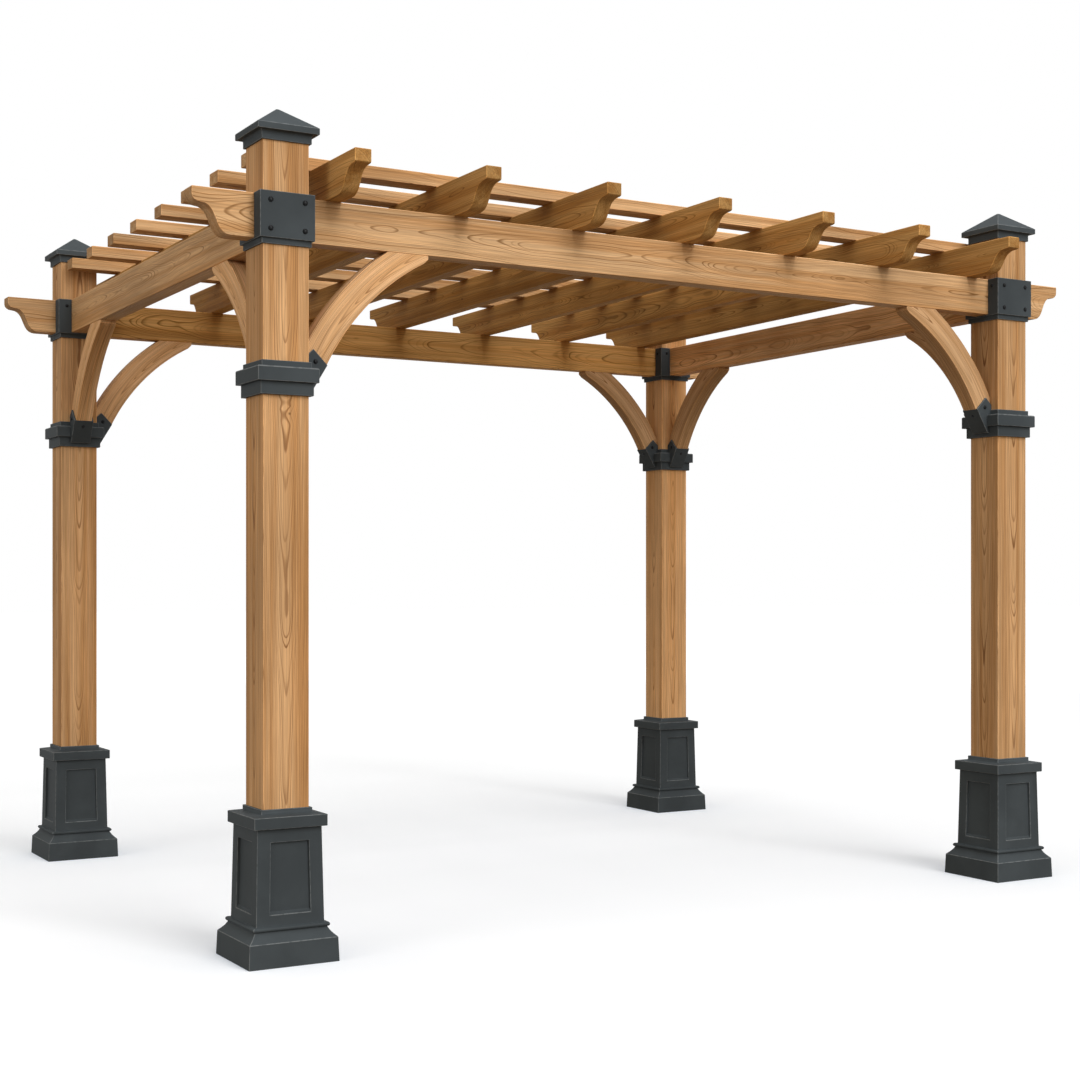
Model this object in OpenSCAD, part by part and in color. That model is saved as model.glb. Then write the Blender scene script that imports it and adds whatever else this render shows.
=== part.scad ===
// Four-post timber pergola with steel beam sleeves, brace collars, post caps and panelled pedestals.
// Millimetres. +X runs along the front beam, +Y towards the back, +Z up.
// The origin is on the ground, at the centre of the four posts.

/* [Plan] */
// Distance between post centres along the front
span_x = 3050; // [2200:10:3600]
// Distance between post centres from front to back
span_y = 2350; // [1800:10:3000]

/* [Posts] */
// Width of a square timber post
post_w = 150; // [120:1:180]
// Height of a post from the ground to the underside of its cap plate
post_h = 2543; // [2400:1:3000]
// Rise of a post above the beams
post_rise = 185; // [170:1:240]

/* [Beams] */
// Height of a beam
beam_h = 138; // [110:1:160]
// Thickness of a beam
beam_t = 70; // [50:1:90]
// Length of an ogee beam tail beyond its sleeve
beam_tail_l = 197; // [150:1:260]
// Upright nose at the end of a beam tail
beam_nose_h = 24; // [12:1:40]
// Length of the ogee curve of a beam tail
beam_ogee_l = 125; // [90:1:145]

/* [Rafters] */
// Number of rafters laid across the beams
rafter_count = 7; // [3:1:7]
// Thickness of a rafter
rafter_t = 55; // [40:1:70]
// Height of a rafter above the beams
rafter_h = 120; // [90:1:140]
// Distance of the outer rafters from the post centres
rafter_inset = 175; // [140:1:220]
// Overhang of a rafter beyond the face of a beam
rafter_tail_l = 225; // [180:1:260]
// Upright nose at the end of a rafter
rafter_nose_h = 38; // [20:1:50]
// Length of the ogee curve of a rafter
rafter_ogee_l = 142; // [100:1:165]

/* [Slats] */
// Number of slats laid across the rafters
slat_count = 8; // [3:1:8]
// Width of a slat
slat_w = 82; // [50:1:100]
// Height of a slat
slat_h = 42; // [30:1:50]
// Gap between a post and the slat beside it
slat_gap = 16; // [5:1:60]
// Reach of a slat beyond the post centres
slat_reach = 55; // [40:1:150]

/* [Braces] */
// Radius of the concave edge of a knee brace
brace_r = 800; // [600:5:1200]
// Depth of a knee brace between its curved edges
brace_d = 90; // [70:1:110]
// Thickness of a knee brace
brace_t = 66; // [45:1:70]
// Reach of the concave edge from the post face at the top of the collar
brace_heel = 77; // [60:1:95]
// Depth of the concave edge below the beam at the tip
brace_toe_h = 19; // [16:1:30]
// Reach of a brace tip from the post centre
brace_reach = 507; // [440:1:560]
// Upright nose at the tip of a brace
brace_nose_h = 12; // [6:1:14]

/* [Beam sleeves] */
// Wall of a beam sleeve around its post
sleeve_wall = 15; // [12:1:26]
// Floor of a sleeve pocket below a beam
sleeve_floor = 5; // [3:1:20]
// Clearance beside a beam in its sleeve pocket
pocket_fit = 0.5; // [0.2:0.1:1]
// Wall of the stepped lip under a sleeve
lip_wall = 7; // [4:1:10]
// Height of the stepped lip
lip_h = 18; // [10:1:26]

/* [Brace collars] */
// Depth of the underside of a collar below the beams
collar_drop = 482; // [460:1:520]
// Height of the lower band
low_band_h = 40; // [30:1:60]
// Wall of the lower band
low_band_wall = 12; // [8:1:16]
// Height of the main band
band_h = 46; // [30:1:60]
// Wall of the main band
band_wall = 25; // [18:1:32]
// Chamfer along the top of the main band
band_chamfer = 3; // [1:1:6]
// Height of the top ring
ring_h = 19; // [8:1:24]
// Wall of the top ring
ring_wall = 7; // [4:1:10]
// Thickness of a shoe cheek beside a brace
cheek_t = 7; // [4:1:10]
// Clearance between a brace and a shoe cheek
cheek_fit = 0.5; // [0.2:0.1:1]
// Height of the cheek point above the ring
cheek_rise = 48; // [30:1:70]
// Distance of the cheek point from the post face
cheek_peak = 30; // [20:1:40]
// Height of a cheek above the ring at the post face
cheek_shoulder = 20; // [10:1:28]
// Height of the foot of a shoe above the underside of its collar
shoe_lift = 15; // [8:1:24]
// Reach of the foot of a shoe beyond the lower band
shoe_toe = 10; // [6:1:16]

/* [Pedestals] */
// Half width of the plinth at the ground
plinth_r = 147; // [135:1:160]
// Half width of the plinth at its top
plinth_top_r = 144; // [130:1:158]
// Height of the plinth
plinth_h = 75; // [50:1:100]
// Height of the sloped cove above the plinth
cove_h = 31; // [20:1:50]
// Half width at the top of the cove
cove_r = 118; // [114:1:124]
// Hollow of the cove behind a straight slope
cove_sag = 3; // [0:1:6]
// Height of the half-round bead
bead_h = 14; // [8:1:18]
// Half width of the body at its foot
body_foot_r = 111; // [105:1:116]
// Half width of the body at its top
body_top_r = 105; // [98:1:112]
// Height of the tapered body
body_h = 295; // [220:5:380]
// Half width of the cap slab
slab_r = 119; // [112:1:126]
// Height of the upright edge of the cap slab
slab_h = 36; // [24:1:48]
// Rise of the chamfer above the cap slab
slab_slope_h = 6; // [3:1:12]
// Wall of the neck ring on the slab
neck_wall = 8; // [5:1:12]
// Height of the neck ring
neck_h = 14; // [8:1:24]
// Wall thickness of the pedestal casing
casing_t = 14; // [12:1:18]
// Width of the stiles beside a panel
stile_w = 44; // [30:1:56]
// Height of the rail above a panel
top_rail_h = 42; // [25:1:55]
// Height of the rail below a panel
foot_rail_h = 34; // [25:1:50]
// Depth of a recessed panel
panel_d = 9; // [3:1:10]
// Height of the bevelled sill of a panel
sill_h = 10; // [6:1:16]

/* [Caps] */
// Half width of the cap plate
cap_r = 101; // [92:1:110]
// Thickness of the edge of the cap plate
cap_edge_h = 20; // [10:1:26]
// Rise of the pyramid above the cap plate
cap_rise = 68; // [50:1:110]
// Half width of the blunt point of the pyramid
cap_point_r = 5; // [1:1:8]
// Radius of the cove under the cap plate
cap_cove_r = 8; // [4:1:9]
// Height of the cap skirt
skirt_h = 28; // [20:1:40]
// Wall of the cap skirt
skirt_wall = 7; // [5:1:10]

/* [Hidden] */
$fn = 48;

wood = "#B98B5A";
steel = "#3B3E41";
post_r = post_w / 2;
sleeve_r = post_r + sleeve_wall;
beam_top_z = post_h - post_rise;
beam_z = beam_top_z - beam_h;
rafter_top_z = beam_top_z + rafter_h;
collar_z = beam_z - collar_drop;
collar_top_z = collar_z + low_band_h + band_h + ring_h;

// Concave edge of a brace in side view: its ends, and the centre of its arc below the tip
heel = [post_r + brace_heel, collar_top_z];
toe = [brace_reach, beam_z - brace_toe_h];
chord = toe - heel;
brace_centre = (heel + toe) / 2
    + sqrt(pow(brace_r, 2) - pow(norm(chord) / 2, 2)) * [chord[1], -chord[0]] / norm(chord);

// Ogee proportions: rounding below the nose as shares of length and height, pull of the curve handles
beam_rounding = [0.22, 0.2];
rafter_rounding = [0.12, 0.07];
ogee_pull = 0.62;

// Segments of the moulding curves, sides of the brace arcs, and how far a cutter passes a face
round_steps = 4;
curve_steps = 12;
cove_steps = 6;
arc_sides = 240;
overcut = 1;

// Places of the four corners: side along X, side along Y
front_left = [-1, -1];
front_right = [1, -1];
back_left = [-1, 1];
back_right = [1, 1];

// Point of a cubic curve between two ends with two handles
function curve_point(a, b, c, d, t) =
    pow(1 - t, 3) * a + 3 * t * pow(1 - t, 2) * b + 3 * t * t * (1 - t) * c + pow(t, 3) * d;

// Ogee from the foot of a nose to the underside: a rounded corner, a hollow, then a full belly
function ogee_points(nose, length, height, rounding) =
    let (
        round_l = length * rounding[0],
        round_h = (height - nose) * rounding[1],
        start = [round_l, -nose - round_h],
        end = [length, -height],
        handle = (length - round_l) * ogee_pull
    )
    concat(
        [for (i = [0 : round_steps])
            let (a = 90 * i / round_steps)
            [round_l * (1 - cos(a)), -nose - round_h * sin(a)]],
        [for (i = [1 : curve_steps])
            curve_point(start, start + [handle, 0], end - [handle, 0], end, i / curve_steps)]
    );

// Put a child at one corner, turned so that its inner sides face the middle of the pergola
module at_corner(corner) {
    translate([corner[0] * span_x / 2, corner[1] * span_y / 2, 0])
        mirror([corner[0] > 0 ? 1 : 0, 0, 0])
            mirror([0, corner[1] > 0 ? 1 : 0, 0])
                children();
}

// Square moulding: one half profile, as points of radius and height, mitred round four sides
module square_moulding(profile) {
    reach = max([for (p = profile) p[0]]);
    outline = concat(profile, [for (i = [len(profile) - 1 : -1 : 0]) [-profile[i][0], profile[i][1]]]);
    intersection() {
        rotate([90, 0, 0])
            linear_extrude(height = 2 * (reach + overcut), center = true)
                polygon(outline);
        rotate([90, 0, 90])
            linear_extrude(height = 2 * (reach + overcut), center = true)
                polygon(outline);
    }
}

// Square tube round a post
module post_band(wall, z, height) {
    outer = post_w + 2 * wall;
    translate([0, 0, z])
        linear_extrude(height = height)
            difference() {
                square(outer, center = true);
                square(post_w, center = true);
            }
}

module post(corner) {
    color(wood)
        at_corner(corner)
            linear_extrude(height = post_h)
                square(post_w, center = true);
}

// Panelled pedestal casing, open inside round the post
module pedestal(corner) {
    bead_z = plinth_h + cove_h;
    body_z = bead_z + bead_h;
    slab_z = body_z + body_h;
    neck_z = slab_z + slab_h + slab_slope_h;
    neck_r = post_r + neck_wall;
    profile = concat(
        [[plinth_r, 0]],
        [for (i = [0 : cove_steps])
            let (t = i / cove_steps)
            [plinth_top_r + (cove_r - plinth_top_r) * t - cove_sag * sin(180 * t), plinth_h + cove_h * t]],
        [for (i = [1 : cove_steps - 1])
            let (a = 180 * i / cove_steps)
            [cove_r + bead_h / 2 * sin(a), bead_z + bead_h / 2 * (1 - cos(a))]],
        [[body_foot_r, body_z], [body_top_r, slab_z], [slab_r, slab_z], [slab_r, slab_z + slab_h],
            [neck_r, neck_z], [neck_r, neck_z + neck_h]]
    );
    cavity = [[plinth_top_r - casing_t, -overcut], [plinth_top_r - casing_t, plinth_h - casing_t],
        [body_foot_r - casing_t, body_z], [body_top_r - casing_t, slab_z],
        [post_r - overcut, slab_z + slab_h - casing_t]];
    lean = (body_foot_r - body_top_r) / body_h;
    panel_z = body_z + foot_rail_h;
    panel_top_z = slab_z - top_rail_h;
    face_foot = body_foot_r - lean * foot_rail_h;
    face_top = body_top_r + lean * top_rail_h;
    face_sill = face_foot - lean * sill_h;
    panel_front = [[stile_w - face_foot, panel_z], [face_foot - stile_w, panel_z],
        [face_top - stile_w, panel_top_z], [stile_w - face_top, panel_top_z]];
    panel_side = [[-slab_r, panel_z], [-face_foot, panel_z], [panel_d - face_sill, panel_z + sill_h],
        [panel_d - face_top, panel_top_z], [-slab_r, panel_top_z]];
    color(steel)
        at_corner(corner)
            difference() {
                square_moulding(profile);
                square_moulding(cavity);
                linear_extrude(height = 2 * (neck_z + neck_h), center = true)
                    square(post_w, center = true);
                for (side = [0 : 3])
                    rotate([0, 0, side * 90])
                        intersection() {
                            rotate([90, 0, 0])
                                linear_extrude(height = slab_r)
                                    polygon(panel_front);
                            rotate([90, 0, 90])
                                linear_extrude(height = 2 * slab_r, center = true)
                                    polygon(panel_side);
                        }
            }
}

// Pyramid cap with a coved skirt round the head of the post
module cap(corner) {
    skirt_z = post_h - skirt_h;
    skirt_r = post_r + skirt_wall;
    plate_z = post_h + cap_edge_h;
    profile = concat(
        [[skirt_r, skirt_z]],
        [for (i = [0 : round_steps])
            let (a = 90 * i / round_steps)
            [skirt_r + cap_cove_r * (1 - cos(a)), post_h - cap_cove_r * (1 - sin(a))]],
        [[cap_r, post_h], [cap_r, plate_z], [cap_point_r, plate_z + cap_rise]]
    );
    color(steel)
        at_corner(corner)
            difference() {
                square_moulding(profile);
                translate([0, 0, skirt_z - overcut])
                    linear_extrude(height = skirt_h + overcut)
                        square(post_w, center = true);
            }
}

// Steel sleeve round the post, with an open pocket for each beam and tail that it carries
module sleeve(corner) {
    sleeve_z = beam_z - sleeve_floor;
    pocket_w = beam_t + 2 * pocket_fit;
    color(steel)
        at_corner(corner) {
            difference() {
                union() {
                    post_band(sleeve_wall, sleeve_z, beam_top_z - sleeve_z);
                    post_band(lip_wall, sleeve_z - lip_h, lip_h);
                }
                translate([-sleeve_r - overcut, -pocket_w / 2, beam_z])
                    cube([2 * (sleeve_r + overcut), pocket_w, beam_h + overcut]);
                translate([-pocket_w / 2, 0, beam_z])
                    cube([pocket_w, sleeve_r + overcut, beam_h + overcut]);
            }
        }
}

// Shoe on the side of a collar that faces along +X: a block under the brace and two pointed cheeks
module brace_shoe() {
    inner_w = brace_t + 2 * cheek_fit;
    foot_z = collar_z + shoe_lift;
    foot = [[post_r, foot_z], [post_r + low_band_wall + shoe_toe, foot_z], heel];
    rotate([90, 0, 0])
        linear_extrude(height = inner_w + 2 * cheek_t, center = true)
            polygon(concat(foot, [[post_r, collar_top_z]]));
    for (side = [-1, 1])
        translate([0, side * (inner_w + cheek_t) / 2, 0])
            rotate([90, 0, 0])
                linear_extrude(height = cheek_t, center = true)
                    polygon(concat(foot, [[post_r + cheek_peak, collar_top_z + cheek_rise],
                        [post_r, collar_top_z + cheek_shoulder]]));
}

// Stepped collar with a shoe for each of the two braces
module collar(corner) {
    band_z = collar_z + low_band_h;
    ring_z = band_z + band_h;
    band_r = post_r + band_wall;
    profile = [[post_r + low_band_wall, collar_z], [post_r + low_band_wall, band_z], [band_r, band_z],
        [band_r, ring_z - band_chamfer], [band_r - band_chamfer, ring_z],
        [post_r + ring_wall, ring_z], [post_r + ring_wall, collar_top_z]];
    color(steel)
        at_corner(corner)
            difference() {
                union() {
                    square_moulding(profile);
                    brace_shoe();
                    mirror([1, -1, 0])
                        brace_shoe();
                }
                translate([0, 0, collar_z - overcut])
                    linear_extrude(height = collar_top_z + cheek_rise - collar_z + 2 * overcut)
                        square(post_w, center = true);
            }
}

// Curved knee brace that rises along +X from the collar to the underside of a beam
module brace() {
    nose = [brace_reach, beam_z - brace_nose_h];
    rotate([90, 0, 0])
        linear_extrude(height = brace_t, center = true)
            intersection() {
                difference() {
                    translate(brace_centre)
                        circle(r = brace_r + brace_d, $fn = arc_sides);
                    translate(brace_centre)
                        circle(r = brace_r, $fn = arc_sides);
                }
                polygon([[post_r, collar_top_z], [brace_centre[0] / 2, collar_top_z],
                    nose - [brace_d, brace_d], nose, [brace_reach, beam_z], [post_r, beam_z]]);
            }
}

module braces(corner) {
    color(wood)
        at_corner(corner) {
            brace();
            mirror([1, -1, 0])
                brace();
        }
}

// Beam between two posts, seated in the pockets of their sleeves
module beam(length) {
    translate([-length / 2, -beam_t / 2, beam_z])
        cube([length, beam_t, beam_h]);
}

module beam_front() {
    color(wood)
        translate([0, -span_y / 2, 0])
            beam(span_x - post_w);
}

module beam_back() {
    color(wood)
        translate([0, span_y / 2, 0])
            beam(span_x - post_w);
}

module beam_left() {
    color(wood)
        translate([-span_x / 2, 0, 0])
            rotate([0, 0, 90])
                beam(span_y - post_w);
}

module beam_right() {
    color(wood)
        translate([span_x / 2, 0, 0])
            rotate([0, 0, 90])
                beam(span_y - post_w);
}

// Ogee tail on the outer side of each post, in line with the beam
module beam_tails(side) {
    tip = sleeve_r + beam_tail_l;
    color(wood)
        for (end = [-1, 1])
            at_corner([end, side])
                translate([-tip, 0, beam_top_z])
                    rotate([90, 0, 0])
                        linear_extrude(height = beam_t, center = true)
                            polygon(concat([[tip - post_r, 0], [0, 0]],
                                ogee_points(beam_nose_h, beam_ogee_l, beam_h, beam_rounding),
                                [[tip - post_r, -beam_h]]));
}

// Rafter across both long beams, with an ogee tail at each end
module rafter(index) {
    step = (span_x - 2 * rafter_inset) / (rafter_count - 1);
    half = span_y / 2 + beam_t / 2 + rafter_tail_l;
    tail = ogee_points(rafter_nose_h, rafter_ogee_l, rafter_h, rafter_rounding);
    last = len(tail) - 1;
    if (index <= rafter_count)
        color(wood)
            translate([rafter_inset - span_x / 2 + (index - 1) * step, 0, rafter_top_z])
                rotate([90, 0, 90])
                    linear_extrude(height = rafter_t, center = true)
                        polygon(concat([[half, 0], [-half, 0]],
                            [for (p = tail) [p[0] - half, p[1]]],
                            [for (i = [last : -1 : 0]) [half - tail[i][0], tail[i][1]]]));
}

// Slat laid across all the rafters
module slat(index) {
    inset = post_r + slat_gap + slat_w / 2;
    step = (span_y - 2 * inset) / (slat_count - 1);
    length = span_x + 2 * slat_reach;
    if (index <= slat_count)
        color(wood)
            translate([-length / 2, inset - span_y / 2 + (index - 1) * step - slat_w / 2, rafter_top_z])
                cube([length, slat_w, slat_h]);
}

post(front_left);  // post_front_left
post(front_right);  // post_front_right
post(back_left);  // post_back_left
post(back_right);  // post_back_right
pedestal(front_left);  // pedestal_front_left
pedestal(front_right);  // pedestal_front_right
pedestal(back_left);  // pedestal_back_left
pedestal(back_right);  // pedestal_back_right
cap(front_left);  // cap_front_left
cap(front_right);  // cap_front_right
cap(back_left);  // cap_back_left
cap(back_right);  // cap_back_right
sleeve(front_left);  // sleeve_front_left
sleeve(front_right);  // sleeve_front_right
sleeve(back_left);  // sleeve_back_left
sleeve(back_right);  // sleeve_back_right
collar(front_left);  // collar_front_left
collar(front_right);  // collar_front_right
collar(back_left);  // collar_back_left
collar(back_right);  // collar_back_right
braces(front_left);  // braces_front_left
braces(front_right);  // braces_front_right
braces(back_left);  // braces_back_left
braces(back_right);  // braces_back_right
beam_front();
beam_back();
beam_left();
beam_right();
beam_tails(-1);  // beam_tails_front
beam_tails(1);  // beam_tails_back
rafter(1);  // rafter_1
rafter(2);  // rafter_2
rafter(3);  // rafter_3
rafter(4);  // rafter_4
rafter(5);  // rafter_5
rafter(6);  // rafter_6
rafter(7);  // rafter_7
slat(1);  // slat_1
slat(2);  // slat_2
slat(3);  // slat_3
slat(4);  // slat_4
slat(5);  // slat_5
slat(6);  // slat_6
slat(7);  // slat_7
slat(8);  // slat_8
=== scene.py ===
import math
import random

import bmesh
import bpy
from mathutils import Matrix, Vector


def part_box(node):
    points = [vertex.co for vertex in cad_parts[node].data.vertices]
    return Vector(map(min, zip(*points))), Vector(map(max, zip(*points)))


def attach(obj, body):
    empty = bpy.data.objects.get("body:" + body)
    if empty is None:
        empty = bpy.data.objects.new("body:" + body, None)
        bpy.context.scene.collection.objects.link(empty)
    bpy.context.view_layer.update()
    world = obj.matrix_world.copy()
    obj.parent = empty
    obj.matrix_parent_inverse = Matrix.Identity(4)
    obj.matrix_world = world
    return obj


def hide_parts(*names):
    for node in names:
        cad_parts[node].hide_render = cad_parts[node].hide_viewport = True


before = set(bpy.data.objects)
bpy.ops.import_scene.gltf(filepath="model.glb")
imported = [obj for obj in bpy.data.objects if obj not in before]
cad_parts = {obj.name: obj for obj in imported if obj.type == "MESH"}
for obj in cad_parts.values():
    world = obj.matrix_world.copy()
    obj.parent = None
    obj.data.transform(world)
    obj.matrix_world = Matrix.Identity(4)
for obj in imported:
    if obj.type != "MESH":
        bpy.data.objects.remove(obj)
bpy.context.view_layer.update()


# Posts: four square cedar timbers, sawn with the heart inside, planed and oiled.
# Each stands on the ground inside its pedestal and carries a metal cap.
# Their corners are eased with a small roundover, as a planing mill leaves them.

corners = ("front_left", "front_right", "back_left", "back_right")
timber_ease = 0.0025
smooth_below = math.radians(40)
flat_below = math.radians(0.5)
same_point = 0.00002
chance = random.Random(11)


def stand(name, data):
    """Object of a mesh, lamp or camera, put in the scene."""
    made = bpy.data.objects.new(name, data)
    bpy.context.scene.collection.objects.link(made)
    return made


def eased(node, name, ease, material, grain_at=None, along=(0, 0, 1), tone=None):
    """Stand-in for a CAD node with its outer edges rounded over. Each point knows its place in
    the grain, and each corner knows how pale its edge is drawn, for wear and a painted highlight,
    how far it shows end grain, and its tone, which is drawn where none is given."""
    shell = bmesh.new()
    shell.from_mesh(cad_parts[node].data)
    bmesh.ops.remove_doubles(shell, verts=shell.verts, dist=same_point)
    bmesh.ops.dissolve_limit(
        shell, angle_limit=flat_below, verts=shell.verts, edges=shell.edges
    )
    sharp = [e for e in shell.edges if e.is_manifold and e.calc_face_angle() > smooth_below]
    outer = [e for e in sharp if e.is_convex]
    for edge in sharp:
        edge.smooth = edge.is_convex
    rounded = bmesh.ops.bevel(
        shell, geom=outer, offset=ease, offset_type="OFFSET", segments=2, profile=0.5,
        affect="EDGES", clamp_overlap=False,
    )
    rounds = set(rounded["faces"])
    grain = shell.verts.layers.float_vector.new("grain")
    wear_and_highlight = shell.loops.layers.float_vector.new("wear_and_highlight")
    tone = chance.random() if tone is None else tone
    direction = Vector(along)
    for vert in shell.verts:
        vert[grain] = grain_at(vert.co, tone) if grain_at else vert.co
    for face in shell.faces:
        face.smooth = True
        end = abs(face.normal.dot(direction))
        for loop in face.loops:
            middle_of_round = all(f in rounds for f in loop.vert.link_faces)
            edge = (1.0 if middle_of_round else 0.5) if face in rounds else 0.0
            loop[wear_and_highlight] = (edge, end, tone)
    mesh = bpy.data.meshes.new(name)
    shell.to_mesh(mesh)
    shell.free()
    piece = stand(name, mesh)
    weighted = piece.modifiers.new("flat faces stay flat", "WEIGHTED_NORMAL")
    weighted.keep_sharp = True
    mesh.materials.append(material)
    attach(piece, "root")
    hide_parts(node)
    return piece


def put(tree, kind, links=None, values=None, **options):
    """Add a shader node, with its options, its linked inputs and its plain values."""
    made = tree.nodes.new(kind)
    for option, value in options.items():
        setattr(made, option, value)
    for socket, source in (links or {}).items():
        tree.links.new(source, made.inputs[socket])
    for socket, value in (values or {}).items():
        made.inputs[socket].default_value = value
    return made


def fill(tree, sockets, terms):
    """Give each input its term: a link from a socket, or a plain value."""
    for socket, term in zip(sockets, terms):
        if isinstance(term, bpy.types.NodeSocket):
            tree.links.new(term, socket)
        else:
            socket.default_value = term


def calc(tree, operation, *terms):
    """Number worked out from sockets and plain numbers."""
    made = put(tree, "ShaderNodeMath", operation=operation)
    fill(tree, made.inputs, terms)
    return made.outputs[0]


def calc_vector(tree, operation, *terms):
    """Vector worked out from sockets and plain vectors."""
    made = put(tree, "ShaderNodeVectorMath", operation=operation)
    fill(tree, made.inputs, terms)
    return made.outputs["Value" if operation == "LENGTH" else "Vector"]


def noise(tree, where, stretch, detail=2.0):
    """Cloudy noise over coordinates multiplied by stretch, in waves per metre."""
    scaled = calc_vector(tree, "MULTIPLY", where, stretch)
    return put(
        tree, "ShaderNodeTexNoise", {"Vector": scaled}, {"Scale": 1.0, "Detail": detail}
    )


def sway(tree, where, stretch, detail):
    """Noise that pushes either way along each axis."""
    cloud = noise(tree, where, stretch, detail).outputs["Color"]
    return calc_vector(tree, "SUBTRACT", cloud, (0.5, 0.5, 0.5))


def even(tree, value):
    """Vector or grey with the same value three times."""
    return put(tree, "ShaderNodeCombineXYZ", {"X": value, "Y": value, "Z": value}).outputs[0]


def span(tree, value, low, high, to_low=0.0, to_high=1.0):
    """Value taken smoothly from one range to another."""
    made = put(
        tree, "ShaderNodeMapRange", {"Value": value},
        {"From Min": low, "From Max": high, "To Min": to_low, "To Max": to_high},
        interpolation_type="SMOOTHSTEP",
    )
    return made.outputs["Result"]


def blend(tree, factor, first, second, mode="MIX"):
    """Colour mixed from two colours, either of them a socket or a plain colour."""
    made = put(tree, "ShaderNodeMix", data_type="RGBA", blend_type=mode)
    colour_inputs = [made.inputs[index] for index in (0, 6, 7)]
    fill(tree, colour_inputs, (factor, first, second))
    return made.outputs[2]


def group(name, inputs, outputs):
    """Empty shader node group with named inputs and outputs."""
    tree = bpy.data.node_groups.new(name, "ShaderNodeTree")
    for socket, kind in inputs.items():
        tree.interface.new_socket(name=socket, in_out="INPUT", socket_type=kind)
    for socket, kind in outputs.items():
        tree.interface.new_socket(name=socket, in_out="OUTPUT", socket_type=kind)
    return tree, tree.nodes.new("NodeGroupInput").outputs, tree.nodes.new("NodeGroupOutput")


def hand_out(tree, result, colour, rough, bump):
    """Give a group's colour, roughness and bumped normal to its outputs."""
    tree.links.new(colour, result.inputs["Color"])
    tree.links.new(rough, result.inputs["Roughness"])
    tree.links.new(bump.outputs[0], result.inputs["Normal"])


def dress(tree, made):
    """Feed a group's outputs to the surface of its material."""
    surface = tree.nodes["Principled BSDF"]
    tree.links.new(made.outputs["Color"], surface.inputs["Base Color"])
    tree.links.new(made.outputs["Roughness"], surface.inputs["Roughness"])
    tree.links.new(made.outputs["Normal"], surface.inputs["Normal"])


def linear(code):
    """Colour written as a six-figure code, such as C49A6C, in the renderer's own numbers."""
    shares = [int(code[i:i + 2], 16) / 255 for i in (0, 2, 4)]
    return [s / 12.92 if s <= 0.04045 else ((s + 0.055) / 1.055) ** 2.4 for s in shares] + [1.0]


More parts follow.
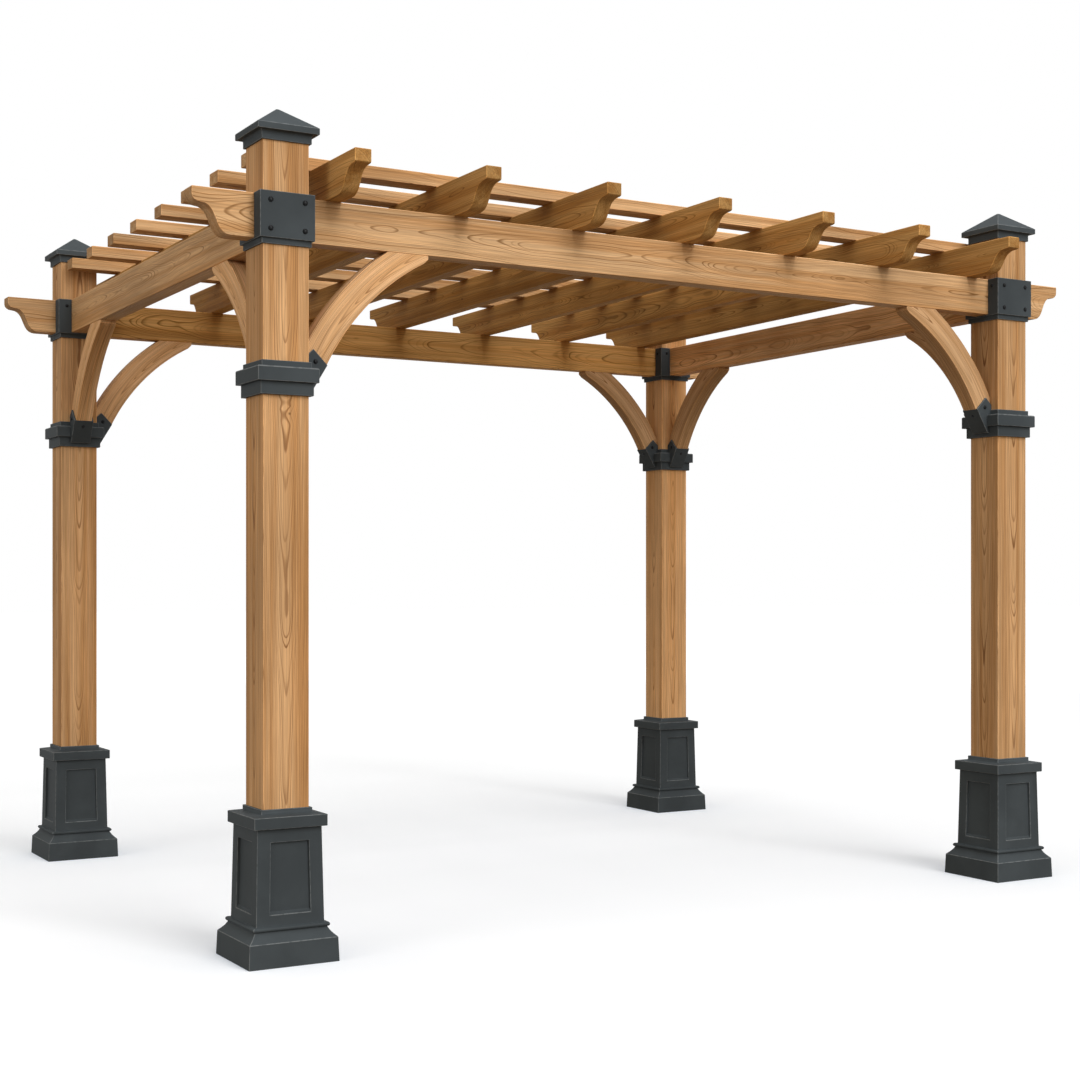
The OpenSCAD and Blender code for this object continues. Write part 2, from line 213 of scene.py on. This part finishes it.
def timber_grain_group():
    """Year rings round a wandering heart, with fibres, streaks and small knots. Grain is a place
    in metres: along the timber, and the two ways across it from the heart."""
    tree, given, result = group(
        "timber_grain",
        {
            "Grain": "NodeSocketVector", "Edge": "NodeSocketFloat", "End": "NodeSocketFloat",
            "Tone": "NodeSocketFloat", "Ring Width": "NodeSocketFloat",
            "Taper": "NodeSocketFloat", "Wander": "NodeSocketFloat", "Waves": "NodeSocketFloat",
            "Clouds": "NodeSocketFloat",
            "Light": "NodeSocketColor", "Warm": "NodeSocketColor", "Line": "NodeSocketColor",
        },
        {"Color": "NodeSocketColor", "Roughness": "NodeSocketFloat", "Normal": "NodeSocketVector"},
    )
    place = given["Grain"]
    split = put(tree, "ShaderNodeSeparateXYZ", {"Vector": place}).outputs

    waves = put(tree, "ShaderNodeCombineXYZ", {"X": given["Waves"]}).outputs[0]
    wander = sway(tree, place, waves, 1.0)
    swirl = calc_vector(tree, "MULTIPLY", sway(tree, place, (5, 14, 14), 2.0), (0, 0.19, 0.19))
    reach = put(
        tree, "ShaderNodeCombineXYZ", {"Y": given["Wander"], "Z": given["Wander"]}
    ).outputs[0]
    drift = calc_vector(tree, "MULTIPLY", calc_vector(tree, "ADD", wander, swirl), reach)
    bent = calc_vector(tree, "ADD", place, drift)
    radius = calc_vector(tree, "LENGTH", calc_vector(tree, "MULTIPLY", bent, (0, 1, 1)))

    cells_per_metre = 4.3
    knotty_above = 0.6
    knot_reach, knot_push = 0.04, 0.22
    knot_core = (0.004, 0.008)
    cells = put(tree, "ShaderNodeTexVoronoi", {"Vector": place}, {"Scale": cells_per_metre}).outputs
    to_knot = calc(tree, "DIVIDE", cells["Distance"], cells_per_metre)
    draw = put(tree, "ShaderNodeSeparateXYZ", {"Vector": cells["Color"]}).outputs["X"]
    knotty = calc(tree, "GREATER_THAN", draw, knotty_above)
    bulge = calc(tree, "MULTIPLY", knotty, span(tree, to_knot, 0.0, knot_reach, knot_push, 0.0))
    bulge = calc(tree, "MULTIPLY", bulge, given["Wander"])
    core = calc(tree, "MULTIPLY", knotty, span(tree, to_knot, *knot_core, 1.0, 0.0))

    radius = calc(tree, "ADD", radius, calc(tree, "MULTIPLY", split["X"], given["Taper"]))
    radius = calc(tree, "ADD", radius, bulge)
    rings = calc(tree, "DIVIDE", radius, given["Ring Width"])
    uneven = put(
        tree, "ShaderNodeTexNoise", {"W": rings}, {"Scale": 0.35, "Detail": 1.0},
        noise_dimensions="1D",
    ).outputs[0]
    rings = calc(tree, "ADD", rings, calc(tree, "MULTIPLY", uneven, 2.4))
    season = calc(tree, "FRACT", rings)
    darkens, stops = (0.55, 0.88), (0.9, 1.0)
    late = span(tree, season, *darkens)
    late = calc(tree, "MULTIPLY", late, span(tree, season, *stops, 1.0, 0.0))
    strength = put(
        tree, "ShaderNodeTexWhiteNoise", {"W": calc(tree, "FLOOR", rings)},
        noise_dimensions="1D",
    ).outputs[0]
    late = calc(tree, "MULTIPLY", late, span(tree, strength, 0.0, 1.0, 0.25, 1.0))

    fibre = noise(tree, place, (9, 480, 480), 3.0).outputs[0]
    streak = noise(tree, place, (0.6, 34, 34), 3.0).outputs[0]
    cloud = noise(tree, place, (1.6, 7, 7), 2.0).outputs[0]
    fine = noise(tree, place, (2, 210, 210), 2.0).outputs[0]

    colour = blend(tree, span(tree, streak, 0.35, 0.68), given["Light"], given["Warm"])
    colour = blend(tree, calc(tree, "MULTIPLY", late, 0.85), colour, given["Line"])
    dark = blend(tree, 1.0, given["Line"], (0.35, 0.3, 0.27, 1), "MULTIPLY")
    colour = blend(tree, calc(tree, "MULTIPLY", core, 0.8), colour, dark)
    clouds = calc(tree, "MULTIPLY", given["Clouds"], span(tree, cloud, 0.3, 0.7, -1.0, 1.0))
    shade = calc(
        tree, "MULTIPLY", span(tree, fibre, 0.3, 0.7, 0.86, 1.1), calc(tree, "ADD", clouds, 0.98)
    )
    shade = calc(tree, "MULTIPLY", shade, span(tree, fine, 0.3, 0.7, 0.84, 1.1))
    lift = calc(tree, "MULTIPLY_ADD", given["Tone"], 0.22, 0.84)
    shade = calc(tree, "MULTIPLY", shade, lift)
    shade = calc(tree, "MULTIPLY", shade, span(tree, given["End"], 0.75, 1.0, 1.0, 0.84))
    # Paler rounded edges: partly wear, partly a painted highlight along the corners.
    chafe_and_highlight = calc(tree, "MULTIPLY", given["Edge"], span(tree, cloud, 0.3, 0.6, 0.2, 0.45))
    shade = calc(tree, "ADD", shade, chafe_and_highlight)
    colour = blend(tree, 1.0, colour, even(tree, shade), "MULTIPLY")

    relief = calc(
        tree, "ADD", calc(tree, "MULTIPLY", fibre, 0.7), calc(tree, "MULTIPLY", late, 0.5)
    )
    relief = calc(tree, "SUBTRACT", relief, core)
    bump = put(
        tree, "ShaderNodeBump", {"Height": relief}, {"Strength": 0.35, "Distance": 0.0012}
    )
    rough = span(tree, fibre, 0.3, 0.7, 0.62, 0.78)
    rough = calc(tree, "ADD", rough, calc(tree, "MULTIPLY", late, -0.06))
    hand_out(tree, result, colour, rough, bump)
    return tree


timber_grain = timber_grain_group()
grain_apart = 40.0


def cedar(name, shades, ring_width, taper, wander, waves, clouds, curved=None):
    """Oiled cedar, in a light, a warm and a line shade. Each point reads its place in the grain
    and its paler edges, worn and with a painted highlight, from the mesh."""
    light, warm, line = [linear(shade) for shade in shades]
    material = bpy.data.materials.new(name)
    material.use_nodes = True
    tree = material.node_tree
    tree.nodes["Principled BSDF"].inputs["Specular IOR Level"].default_value = 0.08
    place = put(tree, "ShaderNodeAttribute", attribute_name="grain").outputs["Vector"]
    wear_and_highlight = put(tree, "ShaderNodeAttribute", attribute_name="wear_and_highlight").outputs["Vector"]
    worn_and_highlit = put(tree, "ShaderNodeSeparateXYZ", {"Vector": wear_and_highlight}).outputs
    if curved:
        place = curved(tree, place, worn_and_highlit["Z"])
    grain = put(
        tree, "ShaderNodeGroup",
        {"Grain": place, "Edge": worn_and_highlit["X"], "End": worn_and_highlit["Y"], "Tone": worn_and_highlit["Z"]},
        {
            "Ring Width": ring_width, "Taper": taper, "Wander": wander, "Waves": waves,
            "Clouds": clouds, "Light": light, "Warm": warm, "Line": line,
        },
        node_tree=timber_grain,
    )
    dress(tree, grain)
    return material


def grain_along(axis, centre, heart=(0.0, 0.0)):
    """Grain of a straight timber: along one axis, with the heart at a distance from the centre
    line. Timbers of different tones show stretches of grain far apart."""
    across = [a for a in range(3) if a != axis]

    def at(point, tone):
        side = [point[a] - centre[a] - heart[i] for i, a in enumerate(across)]
        return (point[axis] + grain_apart * tone, side[0], side[1])

    return at


post_cedar = cedar(
    "post_cedar", ("D0A679", "BA8A59", "7A502C"), ring_width=0.0019, taper=-0.014, wander=0.014,
    waves=2.3, clouds=0.1,
)
post_heart_off = 0.012
# Post tones: partly the timbers' own tone, partly painted light and shade; each lightens or darkens
# a whole post to even out how much lamp light reaches it.
post_tones_and_light = {"front_left": 0.7, "front_right": 0.4, "back_left": 0.75, "back_right": 1.6}
for corner in corners:
    low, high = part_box("post_" + corner)
    middle = (low + high) / 2
    heart = [chance.uniform(-post_heart_off, post_heart_off) for _ in range(2)]
    eased(
        "post_" + corner, "timber_post_" + corner, timber_ease, post_cedar,
        grain_along(2, middle, heart), tone=post_tones_and_light[corner],
    )


# Pedestals: cast aluminium casings, powder coated in charcoal grey, each in two halves that are
# clamped round the foot of a post. Each has a plinth with a cove and a bead, a tapered body with
# sunk panels, and a cap slab.

metal_ease = 0.0018
charcoal = linear("41474B")
# Paler edge colour: partly rubbed paint, partly a painted highlight along the edges.
charcoal_worn_and_highlight = linear("7C8184")


def powder_coat_group():
    """Satin powder coat: fine orange peel, faint clouds and paler edges, partly rubbed paint and
    partly a painted highlight.
    """
    tree, given, result = group(
        "powder_coat",
        {"Edge": "NodeSocketFloat", "Paint": "NodeSocketColor", "Rubbed And Highlight": "NodeSocketColor"},
        {"Color": "NodeSocketColor", "Roughness": "NodeSocketFloat", "Normal": "NodeSocketVector"},
    )
    place = put(tree, "ShaderNodeTexCoord").outputs["Object"]
    peel = noise(tree, place, (520, 520, 520), 2.0).outputs[0]
    cloud = noise(tree, place, (5, 5, 5), 4.0).outputs[0]
    rub_and_glint = noise(tree, place, (60, 60, 60), 3.0).outputs[0]
    shade = span(tree, cloud, 0.3, 0.7, 0.88, 1.14)
    colour = blend(tree, 1.0, given["Paint"], even(tree, shade), "MULTIPLY")
    # Paler edges: partly rubbed paint, partly a painted highlight.
    worn_and_highlit = calc(tree, "MULTIPLY", given["Edge"], span(tree, rub_and_glint, 0.3, 0.6, 0.25, 0.75))
    colour = blend(tree, worn_and_highlit, colour, given["Rubbed And Highlight"])
    bump = put(tree, "ShaderNodeBump", {"Height": peel}, {"Strength": 0.12, "Distance": 0.0006})
    rough = span(tree, cloud, 0.3, 0.7, 0.46, 0.58)
    hand_out(tree, result, colour, rough, bump)
    return tree


black_metal = bpy.data.materials.new("charcoal_powder_coat")
black_metal.use_nodes = True
tree = black_metal.node_tree
tree.nodes["Principled BSDF"].inputs["Specular IOR Level"].default_value = 0.02
wear_and_highlight = put(tree, "ShaderNodeAttribute", attribute_name="wear_and_highlight").outputs["Vector"]
coat = put(
    tree, "ShaderNodeGroup",
    {"Edge": put(tree, "ShaderNodeSeparateXYZ", {"Vector": wear_and_highlight}).outputs["X"]},
    {"Paint": charcoal, "Rubbed And Highlight": charcoal_worn_and_highlight},
    node_tree=powder_coat_group(),
)
dress(tree, coat)

for corner in corners:
    eased("pedestal_" + corner, "cast_pedestal_" + corner, metal_ease, black_metal)


# Caps: pressed steel pyramids with a plate edge and a coved skirt, powder coated.
# They are slipped over the post heads and glued.

for corner in corners:
    eased("cap_" + corner, "pyramid_cap_" + corner, metal_ease, black_metal)


# Beam sleeves: welded steel sleeves with open pockets that hold the beams and tails.
# Four dome-head bolts with washers go through the outer face of a sleeve into the post, and a
# smaller one goes through each flange beside the beams.

sleeve_ease = 0.002
sleeve_floor = 0.005
sleeve_bolt_side = 0.056
sleeve_bolt_margin = 0.028
flange_bolt_size = 0.6
outer_bolt_size = 0.74
dome_bolt = (
    (0.0115, 0.0), (0.0115, 0.0015), (0.0108, 0.0021), (0.009, 0.0021), (0.009, 0.0036),
    (0.0084, 0.0054), (0.0067, 0.0068), (0.0038, 0.0076), (0.0, 0.0078),
)
bolt_sides = 16
bolt_steel = linear("121416")
bolt_metal = bpy.data.materials.new("dark_bolt_steel")
bolt_metal.use_nodes = True
surface = bolt_metal.node_tree.nodes["Principled BSDF"]
surface.inputs["Base Color"].default_value = bolt_steel
surface.inputs["Roughness"].default_value = 0.35
surface.inputs["Specular IOR Level"].default_value = 0.12


def bolts(name, seats):
    """Dome-head bolts, one at each seat: a place on a face, the way out of it, and a scale."""
    shell = bmesh.new()
    for seat, out, scale in seats:
        turn = Vector(out).to_track_quat("Z", "Y")
        rings = []
        for radius, height in dome_bolt[:-1]:
            rings.append([
                shell.verts.new(Vector(seat) + scale * (turn @ Vector((
                    radius * math.cos(math.tau * i / bolt_sides),
                    radius * math.sin(math.tau * i / bolt_sides), height,
                ))))
                for i in range(bolt_sides)
            ])
        for lower, upper in zip(rings, rings[1:]):
            for i in range(bolt_sides):
                j = (i + 1) % bolt_sides
                shell.faces.new((lower[i], lower[j], upper[j], upper[i]))
        top = shell.verts.new(Vector(seat) + scale * (turn @ Vector((0, 0, dome_bolt[-1][1]))))
        for i in range(bolt_sides):
            shell.faces.new((rings[-1][i], rings[-1][(i + 1) % bolt_sides], top))
    for edge in shell.edges:
        edge.smooth = not edge.is_manifold or edge.calc_face_angle() < smooth_below
    for face in shell.faces:
        face.smooth = True
    mesh = bpy.data.meshes.new(name)
    shell.to_mesh(mesh)
    shell.free()
    piece = stand(name, mesh)
    mesh.materials.append(bolt_metal)
    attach(piece, "root")


for corner in corners:
    eased("sleeve_" + corner, "beam_sleeve_" + corner, sleeve_ease, black_metal)
    low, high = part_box("sleeve_" + corner)
    middle = (low + high) / 2
    half = (high.x - low.x) / 2
    sleeve_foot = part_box("beam_tails_front")[0].z - sleeve_floor
    inward_x, inward_y = -math.copysign(1, middle.x), -math.copysign(1, middle.y)
    low_bolt, high_bolt = sleeve_foot + sleeve_bolt_margin, high.z - sleeve_bolt_margin
    seats = []
    for out, heights, size in (
        ((0, -inward_y, 0), (low_bolt, high_bolt), outer_bolt_size),
        ((0, inward_y, 0), (high_bolt,), flange_bolt_size),
        ((inward_x, 0, 0), (high_bolt,), flange_bolt_size),
    ):
        aside = Vector((-out[1], out[0], 0))
        for side in (-sleeve_bolt_side, sleeve_bolt_side):
            for height in heights:
                seat = Vector((middle.x, middle.y, 0)) + half * Vector(out) + side * aside
                seats.append(((seat.x, seat.y, height), out, size))
    bolts("sleeve_bolts_" + corner, seats)


# Brace collars: cast steel collars clamped round the posts, with a shoe for each knee brace.
# A bolt through both cheeks of a shoe holds the brace, and a smaller one goes up through its sole.

cheek_bolt = (0.111, 0.114)
cheek_out = 0.0405
cheek_bolt_size = 0.66
sole_bolt = (0.137, 0.081)
sole_out = (0.847, -0.532)
sole_bolt_size = 0.55
for corner in corners:
    eased("collar_" + corner, "brace_collar_" + corner, metal_ease, black_metal)
    post_low, post_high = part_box("post_" + corner)
    middle = (post_low + post_high) / 2
    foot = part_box("collar_" + corner)[0].z
    along_x = Vector((-math.copysign(1, middle.x), 0, 0))
    along_y = Vector((0, -math.copysign(1, middle.y), 0))
    base = Vector((middle.x, middle.y, foot))
    seats = []
    for along in (along_x, along_y):
        aside = Vector((along.y, along.x, 0))
        cheek = base + cheek_bolt[0] * along + Vector((0, 0, cheek_bolt[1]))
        for side in (-1, 1):
            seats.append((cheek + side * cheek_out * aside, side * aside, cheek_bolt_size))
        sole = base + sole_bolt[0] * along + Vector((0, 0, sole_bolt[1]))
        seats.append((sole, sole_out[0] * along + Vector((0, 0, sole_out[1])), sole_bolt_size))
    bolts("collar_bolts_" + corner, seats)


# Knee braces: curved cedar, bent to an arc and seated in the shoes of the collars.
# Their grain follows the arc. The grain is read no further in or out than the arc's own radii,
# so that the flats between the points of a curved face don't show in it.

arc_centre = (0.8686, 1.4874)
arc_inside, arc_middle, arc_outside = 0.8002, 0.845, 0.8893
brace_heart = (0.01, 0.05)


def arc_grain(middle):
    """Place of a point seen from the centre of its brace's arc: outwards, upwards and sideways."""

    def at(point, tone):
        side, run = sorted((point.x - middle.x, point.y - middle.y), key=abs)
        return (abs(run) - arc_centre[0], point.z - arc_centre[1], side + brace_heart[1])

    return at


def round_the_arc(tree, place, tone):
    """Grain coordinates along the arc of a brace and across it."""
    split = put(tree, "ShaderNodeSeparateXYZ", {"Vector": place}).outputs
    angle = calc(tree, "ARCTAN2", split["Y"], split["X"])
    shift = calc(tree, "MULTIPLY", tone, grain_apart)
    along = calc(tree, "ADD", calc(tree, "MULTIPLY", angle, arc_middle), shift)
    radius = calc_vector(tree, "LENGTH", calc_vector(tree, "MULTIPLY", place, (1, 1, 0)))
    radius = calc(tree, "MINIMUM", calc(tree, "MAXIMUM", radius, arc_inside), arc_outside)
    across = calc(tree, "ADD", radius, brace_heart[0] - arc_middle)
    return put(
        tree, "ShaderNodeCombineXYZ", {"X": along, "Y": across, "Z": split["Z"]}
    ).outputs[0]


brace_cedar = cedar(
    "brace_cedar", ("D1AB82", "BC9062", "7A502C"), ring_width=0.0028, taper=0.02, wander=0.02,
    waves=2.5, clouds=0.12, curved=round_the_arc,
)
# Brace tones: partly the timbers' own tone, partly painted light and shade, lighter on the left
# braces and darker on the right.
brace_tones_and_light = {"front_left": 1.4, "front_right": 0.6, "back_left": 1.4, "back_right": 0.6}
for corner in corners:
    low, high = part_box("post_" + corner)
    eased(
        "braces_" + corner, "knee_braces_" + corner, timber_ease, brace_cedar,
        arc_grain((low + high) / 2), along=(0, 0, 0), tone=brace_tones_and_light[corner],
    )


# Beams: four cedar beams between the posts, seated in the sleeves, and tails with an ogee beyond
# the posts. The back beam and the rafters are of a yellower cedar than the outer timbers: painted
# shade, for the warm shade under the roof.

beam_cedar = cedar(
    "beam_cedar", ("D0AA7F", "BA8D5E", "7F5830"), ring_width=0.0035, taper=-0.03, wander=0.038,
    waves=3.2, clouds=0.15,
)
# Painted shade: a warmer, more saturated copy of the cedar, with darker lines, for the pieces in
# the shade under the roof.
shaded_inner_cedar = cedar(
    "shaded_inner_cedar", ("D0A163", "BA8649", "74501F"), ring_width=0.0035, taper=-0.03, wander=0.038,
    waves=3.2, clouds=0.14,
)
beam_heart_off = (0.045, 0.07)
heart_aside = 0.02


def board_heart(off):
    """Heart of a board sawn beside it: above or below the middle, and near the centre line."""
    return (
        chance.choice((-1, 1)) * chance.uniform(*off), chance.uniform(-heart_aside, heart_aside)
    )


# Beam tones: partly the timbers' own tone, partly painted light and shade; the right beam is
# lightened far past the others to make up for the light it lacks.
for node, axis, tone, material in (
    ("beam_front", 0, 0.5, beam_cedar), ("beam_back", 0, 0.8, shaded_inner_cedar),
    ("beam_left", 1, 0.4, beam_cedar), ("beam_right", 1, 2.2, beam_cedar),
    ("beam_tails_front", 0, 0.7, beam_cedar), ("beam_tails_back", 0, 0.7, beam_cedar),
):
    low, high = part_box(node)
    heart = board_heart(beam_heart_off)
    eased(
        node, "timber_" + node, timber_ease, material,
        grain_along(axis, (low + high) / 2, heart), along=[float(a == axis) for a in range(3)],
        tone=tone,
    )


# Rafters: seven cedar boards on edge across the beams, with an ogee cut at each end.
# They are screwed to the beams at a slant, where no screw shows.

rafters = [f"rafter_{index}" for index in range(1, 8)]
rafter_heart_off = (0.04, 0.06)
# Rafter tones: partly the boards' own tone, partly painted shade, darker for the shade under the
# roof.
rafter_tones_and_shade = (-0.5, 0.2)
for node in rafters:
    low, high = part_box(node)
    heart = board_heart(rafter_heart_off)
    eased(
        node, "timber_" + node, timber_ease, shaded_inner_cedar,
        grain_along(1, (low + high) / 2, heart), along=(0, 1, 0),
        tone=chance.uniform(*rafter_tones_and_shade),
    )


# Slats: eight cedar battens laid flat across the rafters, screwed down from above.
# Each is ripped from beside the heart of a log.

slats = [f"slat_{index}" for index in range(1, 9)]
slat_heart_off = (0.04, 0.07)
for node in slats:
    low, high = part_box(node)
    heart = (chance.uniform(-heart_aside, heart_aside), chance.uniform(*slat_heart_off))
    eased(
        node, "timber_" + node, timber_ease, beam_cedar,
        grain_along(0, (low + high) / 2, heart), along=(1, 0, 0),
    )


# Floor: a plain pale studio floor. It keeps the pergola's soft shadow. It looks white to the camera
# and in reflections, lifted where the lamps' light falls off, and throws little light up, so that
# the undersides stay dark.

floor_reach = 60.0
seen_floor = (0.8, 0.8, 0.8, 1)
thrown_floor = (0.17, 0.125, 0.08, 1)
brightest_spot = (1, -9, 0)
bright_reach, fall_length, full_lift = 5.5, 12.0, 0.6
past_lamps = (8.0, 15.0)
cooler = (0.0, 0.05, 0.12)


def seen_ray(tree):
    """One for rays that show a thing, straight, mirrored or through glass, and none for light."""
    path = put(tree, "ShaderNodeLightPath").outputs
    mirrored = calc(tree, "MAXIMUM", path["Is Camera Ray"], path["Is Glossy Ray"])
    return calc(tree, "MAXIMUM", mirrored, path["Is Transmission Ray"])


floor_mesh = bpy.data.meshes.new("studio_floor")
floor_mesh.from_pydata(
    [(-floor_reach, -floor_reach, 0), (floor_reach, -floor_reach, 0),
     (floor_reach, floor_reach, 0), (-floor_reach, floor_reach, 0)],
    [], [(0, 1, 2, 3)],
)
floor = stand("studio_floor", floor_mesh)
pale = bpy.data.materials.new("pale_floor")
pale.use_nodes = True
tree = pale.node_tree
seen = seen_ray(tree)
surface = tree.nodes["Principled BSDF"]
shown = blend(tree, seen, thrown_floor, seen_floor)
tree.links.new(shown, surface.inputs["Base Color"])
spot = put(tree, "ShaderNodeTexCoord").outputs["Object"]
away = calc_vector(tree, "LENGTH", calc_vector(tree, "SUBTRACT", spot, brightest_spot))
falls = calc(tree, "DIVIDE", calc(tree, "SUBTRACT", bright_reach, away), fall_length)
lift = calc(tree, "MULTIPLY_ADD", calc(tree, "EXPONENT", falls), -full_lift, full_lift)
lift = calc(tree, "MAXIMUM", lift, 0.0)
far_off = span(tree, calc_vector(tree, "LENGTH", spot), *past_lamps, 0.0, full_lift)
lift = calc_vector(tree, "ADD", even(tree, calc(tree, "MAXIMUM", lift, far_off)), cooler)
tree.links.new(blend(tree, seen, (0, 0, 0, 1), lift), surface.inputs["Emission Color"])
surface.inputs["Emission Strength"].default_value = 1.0
surface.inputs["Roughness"].default_value = 0.9
surface.inputs["Specular IOR Level"].default_value = 0.0
floor_mesh.materials.append(pale)


# Light: a plain white studio, dimmer and warmer as light than it looks, and four large soft
# lamps: low in front, high in front, overhead, and low on the left.

warm_fill = (0.56, 0.5, 0.41, 1)
lamp_aim = Vector((0, -0.6, 1.4))
world = bpy.data.worlds.new("white_studio")
bpy.context.scene.world = world
world.use_nodes = True
tree = world.node_tree
shown = blend(tree, seen_ray(tree), warm_fill, (1, 1, 1, 1))
tree.links.new(shown, tree.nodes["Background"].inputs["Color"])
tree.nodes["Background"].inputs["Strength"].default_value = 1.0

for name, place, size, watts in (
    ("front_lamp", (3.2, -18.4, 6.4), 8.0, 1180), ("high_front_lamp", (1, -13, 12), 7.0, 1030),
    ("overhead_lamp", (0, -3, 14), 9.0, 620), ("left_lamp", (-15, -5, 4), 7.0, 480),
):
    lamp = bpy.data.lights.new(name, "AREA")
    lamp.shape = "SQUARE"
    lamp.size = size
    lamp.energy = watts
    lamp_object = stand(name, lamp)
    lamp_object.location = place
    lamp_object.rotation_euler = (Vector(place) - lamp_aim).to_track_quat("Z", "Y").to_euler()
    lamp_object.visible_camera = False


# Camera: at the photograph's place, looking level, with the lens shifted up a little.
# Its place, turn and lens come from a fit to points measured on the four posts.

camera = bpy.data.cameras.new("camera")
camera.sensor_width = 36.0
camera.lens = 57.79
camera.shift_y = 0.0391
camera_object = stand("camera", camera)
camera_object.location = (-3.5112, -6.2428, 1.1642)
camera_object.rotation_euler = (math.radians(90), 0, math.radians(-30.02))
bpy.context.scene.camera = camera_object
bpy.context.scene.view_settings.view_transform = "Standard"
